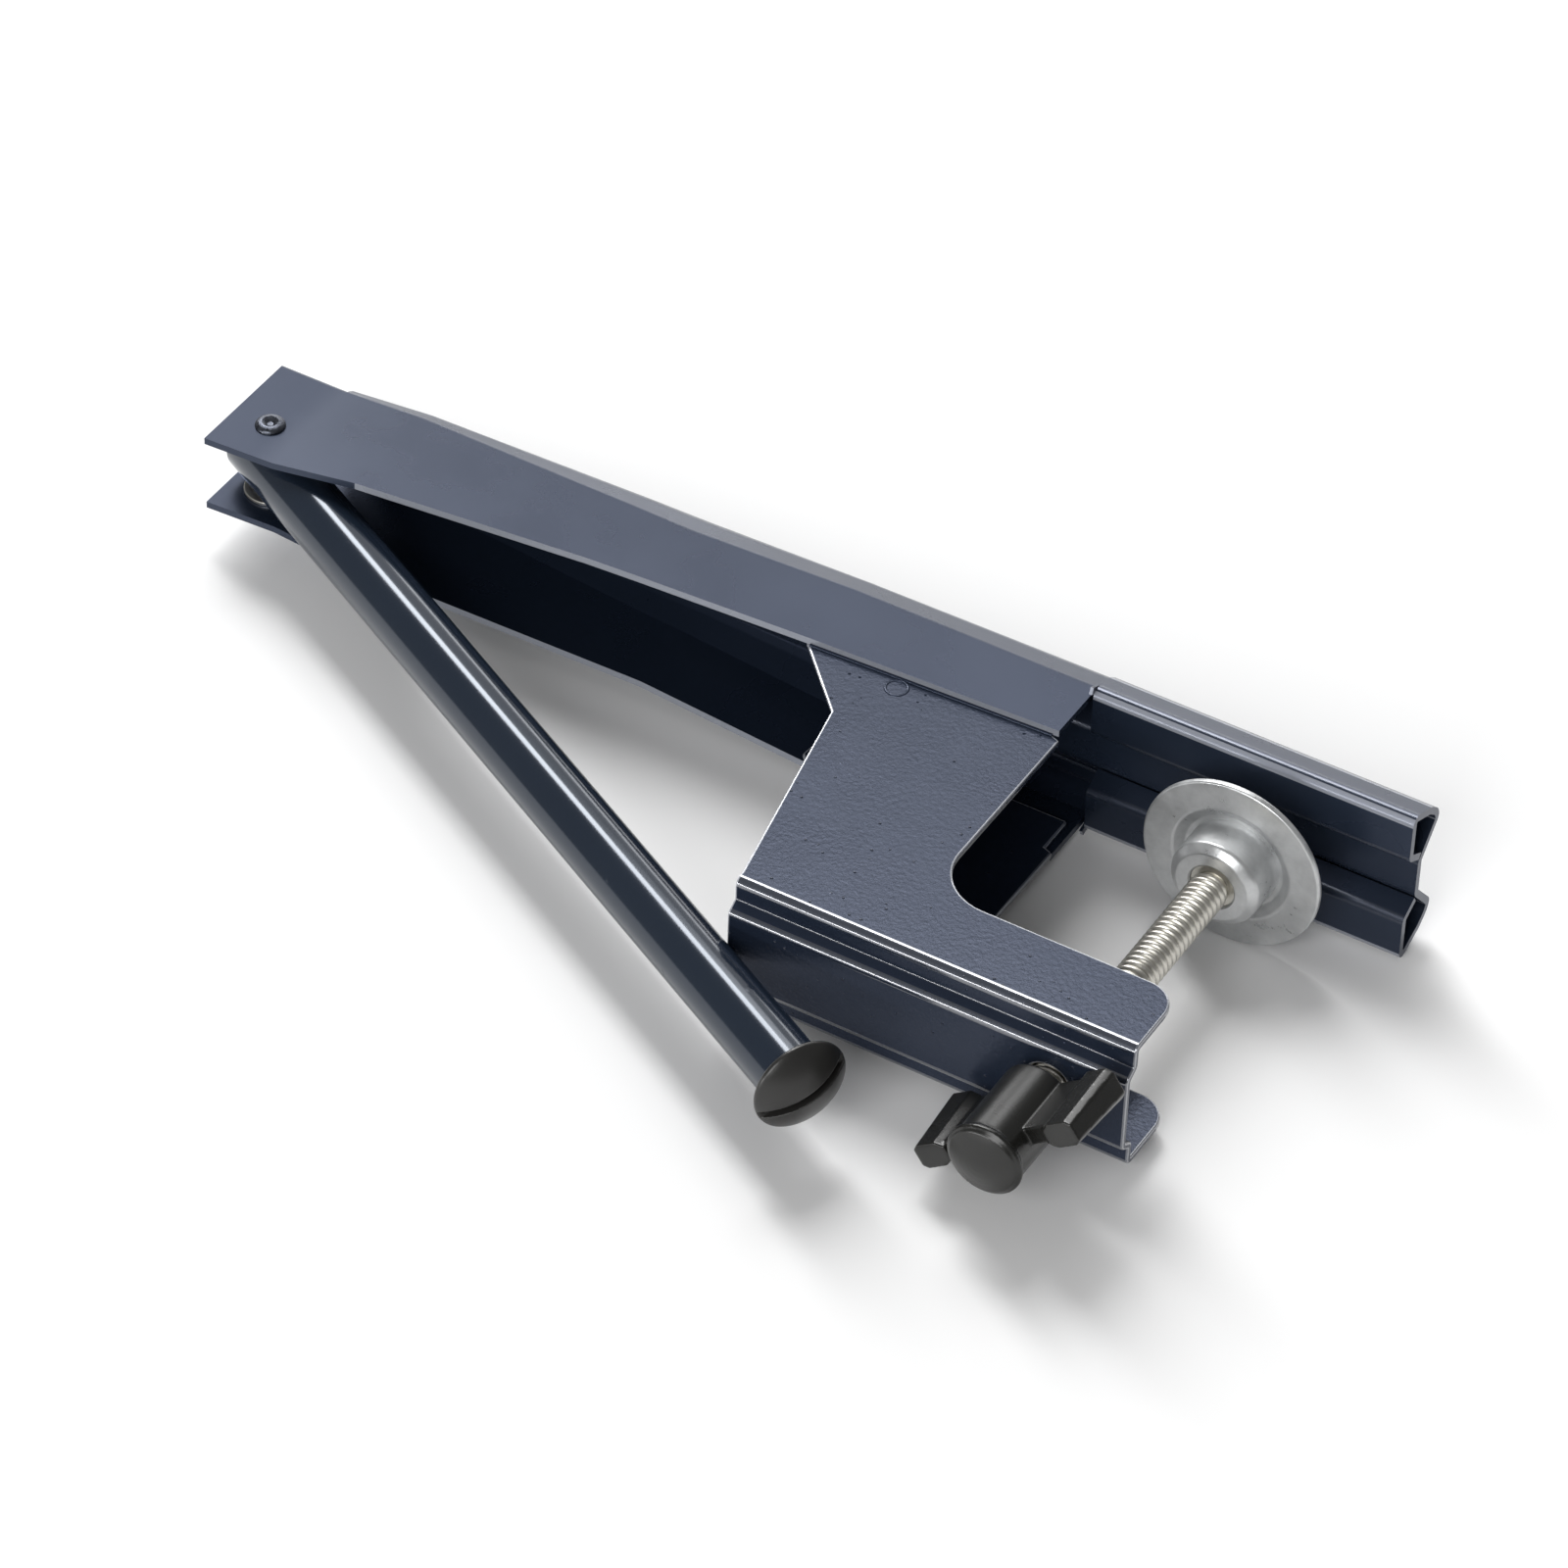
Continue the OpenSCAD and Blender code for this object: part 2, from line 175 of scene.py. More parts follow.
# A closed skin through the rings of a sheet, with its thin ends filled
def loft(name, rings):
    bm = bmesh.new()
    loops = [[bm.verts.new(at(*point)) for point in ring] for ring in rings]
    n = len(loops[0])
    for a, b in zip(loops, loops[1:]):
        for i in range(n):
            bm.faces.new((a[i], a[(i + 1) % n], b[(i + 1) % n], b[i]))
    for loop in (loops[0], loops[-1]):
        for i in range(n // 2 - 1):
            bm.faces.new((loop[i], loop[i + 1], loop[n - 2 - i], loop[n - 1 - i]))
    bmesh.ops.remove_doubles(bm, verts=bm.verts, dist=fineMerge)
    bmesh.ops.dissolve_degenerate(bm, edges=bm.edges, dist=fineMerge)
    return fromBmesh(name, bm)


# Turns a profile of (radius, height) in millimetres about the axis through the place
def lathe(name, profile, place, axis, steps=96, onAxis=1e-6):
    bm = bmesh.new()
    turn = alongZ.rotation_difference(Vector(axis)).to_matrix()
    rows = []
    for radius, height in profile:
        row = []
        for k in range(steps if radius > onAxis else 1):
            a = 2 * math.pi * k / steps
            spot = Vector((radius * math.cos(a), radius * math.sin(a), height))
            row.append(bm.verts.new(place + turn @ spot * mm))
        rows.append(row)
    for low, high in zip(rows, rows[1:]):
        for k in range(steps):
            j = (k + 1) % steps
            corners = [low[k % len(low)], low[j % len(low)], high[j % len(high)], high[k % len(high)]]
            corners = list(dict.fromkeys(corners))
            if len(corners) > 2:
                bm.faces.new(corners)
    bmesh.ops.remove_doubles(bm, verts=bm.verts, dist=fineMerge)
    return fromBmesh(name, bm)


def arcPoints(cx, cy, radius, start, end, steps):
    turns = [math.radians(mix(start, end, k / steps)) for k in range(steps + 1)]
    return [(cx + radius * math.cos(a), cy + radius * math.sin(a)) for a in turns]


def block(name, low, high):
    bm = bmesh.new()
    bmesh.ops.create_cube(bm, size=1)
    for vert in bm.verts:
        vert.co = at(*[mix(low[i], high[i], vert.co[i] + 0.5) for i in range(3)])
    return fromBmesh(name, bm)


# An outline of (x, y) in millimetres, given thickness from low to high along z
def prism(name, outline, low, high):
    bm = bmesh.new()
    bottom = [bm.verts.new(at(p[0], p[1], low)) for p in outline]
    top = [bm.verts.new(at(p[0], p[1], high)) for p in outline]
    bm.faces.new(list(reversed(bottom)))
    bm.faces.new(top)
    for i in range(len(outline)):
        j = (i + 1) % len(outline)
        bm.faces.new((bottom[i], bottom[j], top[j], top[i]))
    return fromBmesh(name, bm)


def combine(obj, other, operation):
    boolean = obj.modifiers.new("combine", "BOOLEAN")
    boolean.operation = operation
    boolean.object = other
    boolean.solver = "MANIFOLD"
    freeze(obj)
    bpy.data.objects.remove(other)
    return cleaned(obj)


# A round hole along the axis, from low to high in millimetres from the place
def drill(obj, radius, low, high, place, axis):
    tool = lathe("drill", [(0, low), (radius, low), (radius, high), (0, high)], place, axis, 48)
    return combine(obj, tool, "DIFFERENCE")


# Joins the faces of each flat surface
def tidyFlats(obj, turn=0.5):
    with edited(obj) as bm:
        bmesh.ops.dissolve_limit(bm, angle_limit=math.radians(turn), verts=bm.verts, edges=bm.edges)
    return obj


def roundEdges(obj, width, angle=50):
    tidyFlats(obj)
    obj.data.materials.clear()
    obj.data.materials.append(None)
    obj.data.materials.append(None)
    bevel = obj.modifiers.new("edges", "BEVEL")
    bevel.material = 1  # lets markEdges know the new faces
    bevel.width = width * mm
    bevel.segments = 2
    bevel.limit_method = "ANGLE"
    bevel.angle_limit = math.radians(angle)
    bevel.use_clamp_overlap = False
    return freeze(obj)


# Bends and cut edges, marked in the face attribute "edge": cut edges get a painted highlight, their base
# colour lightened toward a pale grey, and both bends and cut edges get more coat
paintedHighlightMarks = {
    "bend": 0.5,
    "cut": 1,
    "tipCut": 0.7,  # on edges that face the jaw's tip
    "tipFacing": 0.3,
    "bendWidth": 1.0,
    "bendTurn": 16,
    "cutWidth": 1.3,
    "cutTurn": 60,
    "lipX": 140,  # past lipX and within lipZ are the jaw's lips, which stay plain
    "lipZ": 7,
    "lipFacing": 0.5,
}


# A cut edge is a narrow face between two sharp turns, and a bend is a narrower one between slight turns
def markEdges(obj):
    e = paintedHighlightMarks
    with edited(obj) as bm:
        mark = bm.faces.layers.float.new("edge")
        for face in bm.faces:
            turns = sorted(edge.calc_face_angle_signed(0) for edge in face.edges if len(edge.link_faces) == 2)
            width = face.calc_area() / max(edge.calc_length() for edge in face.edges)
            spot = (face.calc_center_median() - pivot) / mm
            alongArm = abs(face.normal.x) < e["lipFacing"]
            lip = alongArm and spot.x > e["lipX"] and abs(spot.z) < e["lipZ"]
            steep = len(turns) > 3 and turns[-2] > math.radians(e["cutTurn"])
            # cut edges and bevel faces get the full mark, which paints a highlight into the base colour
            if face.material_index == 1 or steep and width < e["cutWidth"] * mm and not lip:
                face[mark] = e["cut"] if face.normal.x < e["tipFacing"] else e["tipCut"]
            elif width < e["bendWidth"] * mm and sum(turns[-2:]) > math.radians(e["bendTurn"]):
                face[mark] = e["bend"]
            face.material_index = 0
    return obj


# A moulded look: the shape is remeshed finely and its corners are eased
def moulded(obj, look):
    remesh = obj.modifiers.new("remesh", "REMESH")
    remesh.mode = "VOXEL"
    remesh.voxel_size = look["voxel"] * mm
    smooth = obj.modifiers.new("ease", "SMOOTH")
    smooth.factor = 0.5
    smooth.iterations = look["easing"]
    return freeze(obj)


def joined(obj, *others):
    with edited(obj) as bm:
        for part in others:
            bm.from_mesh(part.data)
    for part in others:
        bpy.data.objects.remove(part)
    return obj


# A merged copy of a node's mesh
def fromNode(name, node, merge=1e-6):
    bm = bmesh.new()
    bm.from_mesh(frame["nodes"][node].data)
    bmesh.ops.remove_doubles(bm, verts=bm.verts, dist=merge)
    bmesh.ops.dissolve_limit(bm, angle_limit=math.radians(1), verts=bm.verts, edges=bm.edges)
    return fromBmesh(name, bm)


def finishPiece(obj, body, material, slotName, *nodes, shade=35):
    if nodes:
        markEdges(obj)
    obj.data.materials.clear()
    obj.data.materials.append(material)
    softShade(obj, shade)
    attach(obj, body)
    if nodes:
        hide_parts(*nodes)
    print("made", obj.name, len(obj.data.polygons), "faces")


# A Math node on two values, each a number or a socket
def calc(tree, operation, a, b=0.0, clamp=False):
    node = tree.nodes.new("ShaderNodeMath")
    node.operation = operation
    node.use_clamp = clamp
    for i, value in enumerate((a, b)):
        if isinstance(value, (int, float)):
            node.inputs[i].default_value = value
        else:
            tree.links.new(value, node.inputs[i])
    return node.outputs[0]


def newTree(name, inputs):
    tree = bpy.data.node_groups.new(name, "GeometryNodeTree")
    for label, kind in inputs:
        tree.interface.new_socket(label, in_out="INPUT", socket_type=kind)
    tree.interface.new_socket("Geometry", in_out="OUTPUT", socket_type="NodeSocketGeometry")
    return tree, tree.nodes.new("NodeGroupInput"), tree.nodes.new("NodeGroupOutput")


# Ends a tree with real geometry in one material
def endTree(tree, entry, leave, geometry):
    realize = tree.nodes.new("GeometryNodeRealizeInstances")
    setMaterial = tree.nodes.new("GeometryNodeSetMaterial")
    tree.links.new(geometry, realize.inputs["Geometry"])
    tree.links.new(realize.outputs["Geometry"], setMaterial.inputs["Geometry"])
    tree.links.new(entry.outputs["Material"], setMaterial.inputs["Material"])
    tree.links.new(setMaterial.outputs["Geometry"], leave.inputs["Geometry"])
    return tree


def runTree(name, tree, values, merge=2e-6):
    obj = link(name, bpy.data.meshes.new(name))
    modifier = obj.modifiers.new("shape", "NODES")
    modifier.node_group = tree
    for item in tree.interface.items_tree:
        if item.in_out == "INPUT" and item.name in values:
            modifier[item.identifier] = values[item.name]
    return cleaned(freeze(obj), merge)


# The part on both sides of the frame, out millimetres from its middle
def onBothSides(name, tree, part, place, out, material):
    both = runTree(name, tree, {"Part": part, "Place": place, "Spread": out * mm, "Material": material})
    bpy.data.objects.remove(part)
    return both


# A rod along +Z with a V thread that winds to the right and fades out at both ends
def threadTree():
    rootEdge, flank = 0.97, 0.55  # shares of half a pitch
    rowEnd = 1e-5
    tree, entry, leave = newTree("threadedRod", [
        ("Length", "NodeSocketFloat"), ("Pitch", "NodeSocketFloat"), ("Radius", "NodeSocketFloat"),
        ("Depth", "NodeSocketFloat"), ("Rows", "NodeSocketInt"), ("Sides", "NodeSocketInt"),
        ("Material", "NodeSocketMaterial"),
    ])
    length, pitch = entry.outputs["Length"], entry.outputs["Pitch"]
    grid = tree.nodes.new("GeometryNodeMeshGrid")
    grid.inputs["Size X"].default_value = 1
    grid.inputs["Size Y"].default_value = 1
    tree.links.new(entry.outputs["Sides"], grid.inputs["Vertices X"])
    tree.links.new(entry.outputs["Rows"], grid.inputs["Vertices Y"])
    place = tree.nodes.new("GeometryNodeInputPosition")
    split = tree.nodes.new("ShaderNodeSeparateXYZ")
    tree.links.new(place.outputs[0], split.inputs[0])
    around = calc(tree, "ADD", split.outputs["X"], 0.5)
    along = calc(tree, "ADD", split.outputs["Y"], 0.5)
    run = calc(tree, "SUBTRACT", calc(tree, "MULTIPLY", along, calc(tree, "ADD", length, pitch)), pitch)
    height = calc(tree, "ADD", run, calc(tree, "MULTIPLY", around, pitch))
    height = calc(tree, "MAXIMUM", calc(tree, "MINIMUM", height, length), 0.0)
    wave = calc(tree, "FRACT", calc(tree, "DIVIDE", run, pitch))
    ridge = calc(tree, "ABSOLUTE", calc(tree, "SUBTRACT", calc(tree, "MULTIPLY", wave, 2.0), 1.0))
    ridge = calc(tree, "DIVIDE", calc(tree, "SUBTRACT", rootEdge, ridge), flank, clamp=True)
    fadeIn = calc(tree, "DIVIDE", height, pitch, clamp=True)
    fadeOut = calc(tree, "DIVIDE", calc(tree, "SUBTRACT", length, height), pitch, clamp=True)
    depth = calc(tree, "MULTIPLY", entry.outputs["Depth"], calc(tree, "MULTIPLY", fadeIn, fadeOut))
    root = calc(tree, "SUBTRACT", entry.outputs["Radius"], entry.outputs["Depth"])
    radius = calc(tree, "ADD", root, calc(tree, "MULTIPLY", depth, ridge))
    notFirst = calc(tree, "GREATER_THAN", along, rowEnd)
    notLast = calc(tree, "LESS_THAN", along, 1 - rowEnd)
    inside = calc(tree, "MULTIPLY", notFirst, notLast)
    radius = calc(tree, "MULTIPLY", radius, inside)  # the first and the last row close the ends
    angle = calc(tree, "MULTIPLY", around, 2 * math.pi)
    spot = tree.nodes.new("ShaderNodeCombineXYZ")
    tree.links.new(calc(tree, "MULTIPLY", radius, calc(tree, "COSINE", angle)), spot.inputs["X"])
    tree.links.new(calc(tree, "MULTIPLY", radius, calc(tree, "SINE", angle)), spot.inputs["Y"])
    tree.links.new(height, spot.inputs["Z"])
    move = tree.nodes.new("GeometryNodeSetPosition")
    tree.links.new(grid.outputs["Mesh"], move.inputs["Geometry"])
    tree.links.new(spot.outputs[0], move.inputs["Position"])
    merge = tree.nodes.new("GeometryNodeMergeByDistance")
    merge.inputs["Distance"].default_value = 2e-6
    tree.links.new(move.outputs["Geometry"], merge.inputs["Geometry"])
    return endTree(tree, entry, leave, merge.outputs["Geometry"])


# The same part on both sides of the frame, the lower one turned over
def pairTree():
    tree, entry, leave = newTree("bothSides", [
        ("Part", "NodeSocketObject"), ("Place", "NodeSocketVector"), ("Spread", "NodeSocketFloat"),
        ("Material", "NodeSocketMaterial"),
    ])
    points = tree.nodes.new("GeometryNodeMeshLine")
    points.inputs["Count"].default_value = 2
    offset = tree.nodes.new("ShaderNodeCombineXYZ")
    tree.links.new(calc(tree, "MULTIPLY", entry.outputs["Spread"], 2.0), offset.inputs["Z"])
    down = tree.nodes.new("ShaderNodeCombineXYZ")
    tree.links.new(calc(tree, "MULTIPLY", entry.outputs["Spread"], -1.0), down.inputs["Z"])
    start = tree.nodes.new("ShaderNodeVectorMath")
    tree.links.new(entry.outputs["Place"], start.inputs[0])
    tree.links.new(down.outputs[0], start.inputs[1])
    tree.links.new(start.outputs[0], points.inputs["Start Location"])
    tree.links.new(offset.outputs[0], points.inputs["Offset"])
    index = tree.nodes.new("GeometryNodeInputIndex")
    turn = tree.nodes.new("ShaderNodeCombineXYZ")
    over = calc(tree, "MULTIPLY", calc(tree, "SUBTRACT", 1.0, index.outputs[0]), math.pi)
    tree.links.new(over, turn.inputs["X"])
    part = tree.nodes.new("GeometryNodeObjectInfo")
    tree.links.new(entry.outputs["Part"], part.inputs["Object"])
    place = tree.nodes.new("GeometryNodeInstanceOnPoints")
    tree.links.new(points.outputs["Mesh"], place.inputs["Points"])
    tree.links.new(part.outputs["Geometry"], place.inputs["Instance"])
    tree.links.new(turn.outputs[0], place.inputs["Rotation"])
    return endTree(tree, entry, leave, place.outputs["Instances"])


def newMaterial(name):
    material = bpy.data.materials.new(name)
    material.use_nodes = True
    nodes = material.node_tree.nodes
    return material, nodes, material.node_tree.links, nodes["Principled BSDF"]


def noise(nodes, links, place, scale, detail, roughness=0.5):
    texture = nodes.new("ShaderNodeTexNoise")
    texture.inputs["Scale"].default_value = scale
    texture.inputs["Detail"].default_value = detail
    texture.inputs["Roughness"].default_value = roughness
    links.new(place, texture.inputs["Vector"])
    return texture.outputs["Fac"]


def spread(nodes, links, value, low, high, fromLow=0.3, fromHigh=0.7):
    ramp = nodes.new("ShaderNodeMapRange")
    ramp.inputs["From Min"].default_value = fromLow
    ramp.inputs["From Max"].default_value = fromHigh
    ramp.inputs["To Min"].default_value = low
    ramp.inputs["To Max"].default_value = high
    links.new(value, ramp.inputs["Value"])
    return ramp.outputs["Result"]


# A mix of two colours, each a value or a socket
def blend(nodes, links, factor, dark, light):
    node = nodes.new("ShaderNodeMix")
    node.data_type = "RGBA"
    links.new(factor, node.inputs["Factor"])
    for label, colour in (("A", dark), ("B", light)):
        if isinstance(colour, tuple):
            node.inputs[label].default_value = colour
        else:
            links.new(colour, node.inputs[label])
    return node.outputs["Result"]


def bump(nodes, links, height, strength, distance, under=None):
    node = nodes.new("ShaderNodeBump")
    node.inputs["Strength"].default_value = strength
    node.inputs["Distance"].default_value = distance
    links.new(height, node.inputs["Height"])
    if under:
        links.new(under, node.inputs["Normal"])
    return node.outputs["Normal"]


# A material whose tone and roughness follow a cloud of noise
def clouded(name, look, detail, fineness=0.5):
    material, nodes, links, shader = newMaterial(name)
    place = nodes.new("ShaderNodeTexCoord").outputs["Object"]
    cloud = noise(nodes, links, place, look["cloudScale"], detail, fineness)
    links.new(blend(nodes, links, cloud, look["dark"], look["light"]), shader.inputs["Base Color"])
    links.new(spread(nodes, links, cloud, *look["roughness"]), shader.inputs["Roughness"])
    return material, nodes, links, shader, place


# Nibs of dust: the middles of about half the cells, as a height
def dust(nodes, links, place, scale):
    dotSize, chosenShare = (0.02, 0.13), (0.45, 0.5)
    cells = nodes.new("ShaderNodeTexVoronoi")
    cells.inputs["Scale"].default_value = scale
    links.new(place, cells.inputs["Vector"])
    dots = spread(nodes, links, cells.outputs["Distance"], 1, 0, *dotSize)
    split = nodes.new("ShaderNodeSeparateXYZ")
    links.new(cells.outputs["Color"], split.inputs[0])
    chosen = spread(nodes, links, split.outputs["X"], 0, 1, *chosenShare)
    nibs = nodes.new("ShaderNodeMath")
    nibs.operation = "MULTIPLY"
    links.new(dots, nibs.inputs[0])
    links.new(chosen, nibs.inputs[1])
    return nibs.outputs[0]


# Stoved paint on steel: an orange peel, nibs of dust under the skin, more coat on bends and cut edges, and a
# painted highlight on cut edges, where the base colour is lightened
def paint(name, look):
    peelHeight, nibHeight = 0.0001, 0.0002
    bendMarks, highlightMarks = (0.1, 0.5), (0.6, 1)
    material, nodes, links, shader, place = clouded(name, look, detail=5)
    mark = nodes.new("ShaderNodeAttribute")
    mark.attribute_name = "edge"
    colour = shader.inputs["Base Color"].links[0].from_socket
    # painted highlight: the base colour of cut edges is lightened toward a pale grey
    cut = spread(nodes, links, mark.outputs["Fac"], 0, look["highlightShare"], *highlightMarks)
    links.new(blend(nodes, links, cut, colour, look["highlightColour"]), shader.inputs["Base Color"])
    coat = spread(nodes, links, mark.outputs["Fac"], look["coat"], look["edgeCoat"], *bendMarks)
    links.new(coat, shader.inputs["Coat Weight"])
    peel = noise(nodes, links, place, look["peelScale"], look["peelDetail"])
    normal = bump(nodes, links, peel, look["peelStrength"], peelHeight)
    if "nibs" in look:
        nibs = dust(nodes, links, place, look["nibScale"])
        normal = bump(nodes, links, nibs, look["nibs"], nibHeight, normal)
    links.new(normal, shader.inputs["Normal"])
    shader.inputs["Specular IOR Level"].default_value = look["shine"]
    shader.inputs["Specular Tint"].default_value = look["shineColour"]
    shader.inputs["Coat IOR"].default_value = look["coatIor"]
    shader.inputs["Coat Roughness"].default_value = look["coatRoughness"]
    return material


# Plated or turned steel: a mottled tone and a fine grain
def metal(name, look):
    grainHeight, grainFiner = 0.00008, 5
    material, nodes, links, shader, place = clouded(name, look, detail=8, fineness=0.65)
    grain = noise(nodes, links, place, look["cloudScale"] * grainFiner, 3)
    links.new(bump(nodes, links, grain, look["grain"], grainHeight), shader.inputs["Normal"])
    shader.inputs["Metallic"].default_value = look["metallic"]
    return material


# Moulded plastic with a fine spark texture
def plastic(name, look):
    grainHeight, grainScale = 0.00005, 2400
    material, nodes, links, shader, place = clouded(name, look, detail=4)
    grain = noise(nodes, links, place, grainScale, 3)
    links.new(bump(nodes, links, grain, look["grain"], grainHeight), shader.inputs["Normal"])
    shader.inputs["Specular IOR Level"].default_value = look["shine"]
    return material


armPaint = paint("armPaint", {
    "dark": (0.010, 0.015, 0.026, 1),
    "light": (0.013, 0.019, 0.032, 1),
    "shine": 0.6,
    "shineColour": (0.58, 0.68, 1, 1),
    "roughness": (0.26, 0.3),
    "peelScale": 500,
    "peelDetail": 2,
    "peelStrength": 0.12,
    "cloudScale": 60,
    "coat": 0.0,
    "coatRoughness": 0.22,
    "coatIor": 2.2,
    "edgeCoat": 0.3,
    # the pale grey painted on cut edges as a highlight
    "highlightColour": (0.40, 0.42, 0.47, 1),
    "highlightShare": 0.6,
})
bracketPaint = paint("bracketPaint", {
    "dark": (0.011, 0.016, 0.028, 1),
    "light": (0.014, 0.020, 0.034, 1),
    "shine": 0.5,
    "shineColour": (0.62, 0.71, 1, 1),
    "roughness": (0.2, 0.28),
    "peelScale": 1500,
    "peelDetail": 5,
    "peelStrength": 0.5,
    "cloudScale": 90,
    "nibs": 1.0,
    "nibScale": 520,
    "coat": 0.0,
    "coatRoughness": 0.15,
    "coatIor": 2.4,
    "edgeCoat": 1.0,
    # the pale grey painted on cut edges as a highlight
    "highlightColour": (0.50, 0.52, 0.57, 1),
    "highlightShare": 0.7,
})
tubePaint = paint("tubePaint", {
    "dark": (0.009, 0.014, 0.024, 1),
    "light": (0.011, 0.017, 0.028, 1),
    "shine": 0.55,
    "shineColour": (0.8, 0.88, 1, 1),
    "roughness": (0.14, 0.17),
    "peelScale": 350,
    "peelDetail": 2,
    "peelStrength": 0.03,
    "cloudScale": 40,
    "nibs": 0.3,
    "nibScale": 160,
    "coat": 0.2,
    "coatRoughness": 0.1,
    "coatIor": 1.5,
    "edgeCoat": 0.2,
    # the pale grey painted on cut edges as a highlight, here given no share
    "highlightColour": (0.3, 0.32, 0.36, 1),
    "highlightShare": 0.0,
})
screwSteel = metal("screwSteel", {
    "dark": (0.52, 0.50, 0.45, 1),
    "light": (0.74, 0.72, 0.66, 1),
    "cloudScale": 500,
    "metallic": 1.0,
    "roughness": (0.3, 0.42),
    "grain": 0.15,
})
zincPlate = metal("zincPlate", {
    "dark": (0.32, 0.33, 0.34, 1),
    "light": (0.82, 0.83, 0.83, 1),
    "cloudScale": 220,
    "metallic": 0.7,
    "roughness": (0.24, 0.44),
    "grain": 0.3,
})
rivetSteel = metal("rivetSteel", {
    "dark": (0.012, 0.016, 0.026, 1),
    "light": (0.16, 0.17, 0.20, 1),
    "cloudScale": 1300,
    "metallic": 1.0,
    "roughness": (0.2, 0.4),
    "grain": 0.6,
})
knobPlastic = plastic("knobPlastic", {
    "dark": (0.008, 0.008, 0.007, 1),
    "light": (0.012, 0.012, 0.011, 1),
    "cloudScale": 90,
    "shine": 0.5,
    "roughness": (0.24, 0.3),
    "grain": 0.2,
})
capPlastic = plastic("capPlastic", {
    "dark": (0.014, 0.014, 0.013, 1),
    "light": (0.020, 0.019, 0.018, 1),
    "cloudScale": 90,
    "shine": 0.5,
    "roughness": (0.3, 0.36),
    "grain": 0.15,
})


# The arm is a pressed channel whose side walls are folded under at the jaw
arm = {
    "reach": 200,
    "sheet": 1.2,
    "pivotHalf": 7.1,
    "jawHalf": 15,
    "wallInset": 1.8,
    "wallDepth": 8.3,
    "seatY": 6.7,
    "ridgeY": 16.2,
    "ridgeZ": 8.5,
    "earTop": 13.8,
    "grooveDepth": 4.9,
    "grooveZ": 3,
    "throatX": 145.5,
    "wallEnd": 145,
    "webX": 5.55,
    "edgeCurve": 0.75,
    "crown": ((0.42, 0.68), (0.7, 0.92)),  # from the web's edge in and up to the ridge, as shares
    "crownBend": 3,
    "flapWidth": 9.1,
    "flapLip": 3.5,
    "lipLean": 2,
    "bend": 1.6,
    "flapBend": 1.5,
    "rowGap": 4,
    "overlap": 0.01,
    "rivetHole": 1.75,
    "cutFrom": -9,
    "cutTop": 20,
    "cutHalf": 16,
    # x, share of the widening, rise of the wall's edge, lift of the web's edge, ridge half width, groove
    "stations": (
        (-7, 0, 0, 0, 4.9, 0),
        (5.55, 0, 0.6, 0, 4.9, 0),
        (62 / 3, 0.35, 1.3, 0, 6.4, 0),
        (62, 0.63, 3.7, 0, 7.4, 0),
        (72, 0.67, 4.1, 0, 7.5, 1),
        (102, 1, 3.6, 0.6, 7.9, 1),
        (145, 1, 5.4, 2.3, 8.5, 1),
    ),
}


# One side of the web, from its edge to the groove's floor
def armWebHalf(edgeZ, edgeY, ridgeZ, dip):
    ridgeY = arm["ridgeY"]
    crown = [(mix(edgeZ, ridgeZ, share), mix(edgeY, ridgeY, rise)) for share, rise in arm["crown"]]
    return [(edgeZ, edgeY), *crown, (ridgeZ, ridgeY), (arm["grooveZ"], ridgeY - dip)]


def armEdgeY(x):
    t = (x - arm["webX"]) / (arm["wallEnd"] - arm["webX"])
    return mix(arm["earTop"], arm["seatY"], max(t, 0) ** arm["edgeCurve"])


def rowCount(length):
    return max(1, round(length / arm["rowGap"]))


# The open channel, its walls running straight into the web
def armWalled():
    wall = arm["jawHalf"] - arm["wallInset"]
    stations = []
    for x, widen, rise, lift, ridgeZ, groove in arm["stations"]:
        half = mix(arm["pivotHalf"], wall, widen)
        dip = groove * arm["grooveDepth"]
        stations.append((x, half, rise - arm["wallDepth"], armEdgeY(x) + lift, ridgeZ, dip))
    rows = []
    for a, b in zip(stations, stations[1:]):
        count = rowCount(b[0] - a[0])
        for k in range(count):
            rows.append([mix(u, v, k / count) for u, v in zip(a, b)])
    rows.append(stations[-1])
    radii = [0, arm["bend"], arm["crownBend"], arm["crownBend"], arm["bend"], arm["bend"]]
    rings = []
    for x, half, wallY, edgeY, ridgeZ, dip in rows:
        side = [(half, wallY)] + armWebHalf(half, edgeY, ridgeZ, dip)
        rings.append(sheetRing(x, side, radii, arm["sheet"]))
    return loft("armChannel", rings)


def armJaw(name, start, end, flaps):
    side = armWebHalf(arm["jawHalf"], arm["seatY"], arm["ridgeZ"], arm["grooveDepth"])
    radii = [arm["crownBend"], arm["crownBend"], arm["bend"], arm["bend"]]
    if flaps:
        lipZ = arm["jawHalf"] - arm["flapWidth"]
        side = [(lipZ - arm["lipLean"], arm["seatY"] + arm["flapLip"]), (lipZ, arm["seatY"])] + side
        radii = [arm["flapBend"], arm["flapBend"]] + radii
    count = rowCount(end - start)
    xs = [mix(start, end, k / count) for k in range(count + 1)]
    return loft(name, [sheetRing(x, side, [0] + radii, arm["sheet"]) for x in xs])


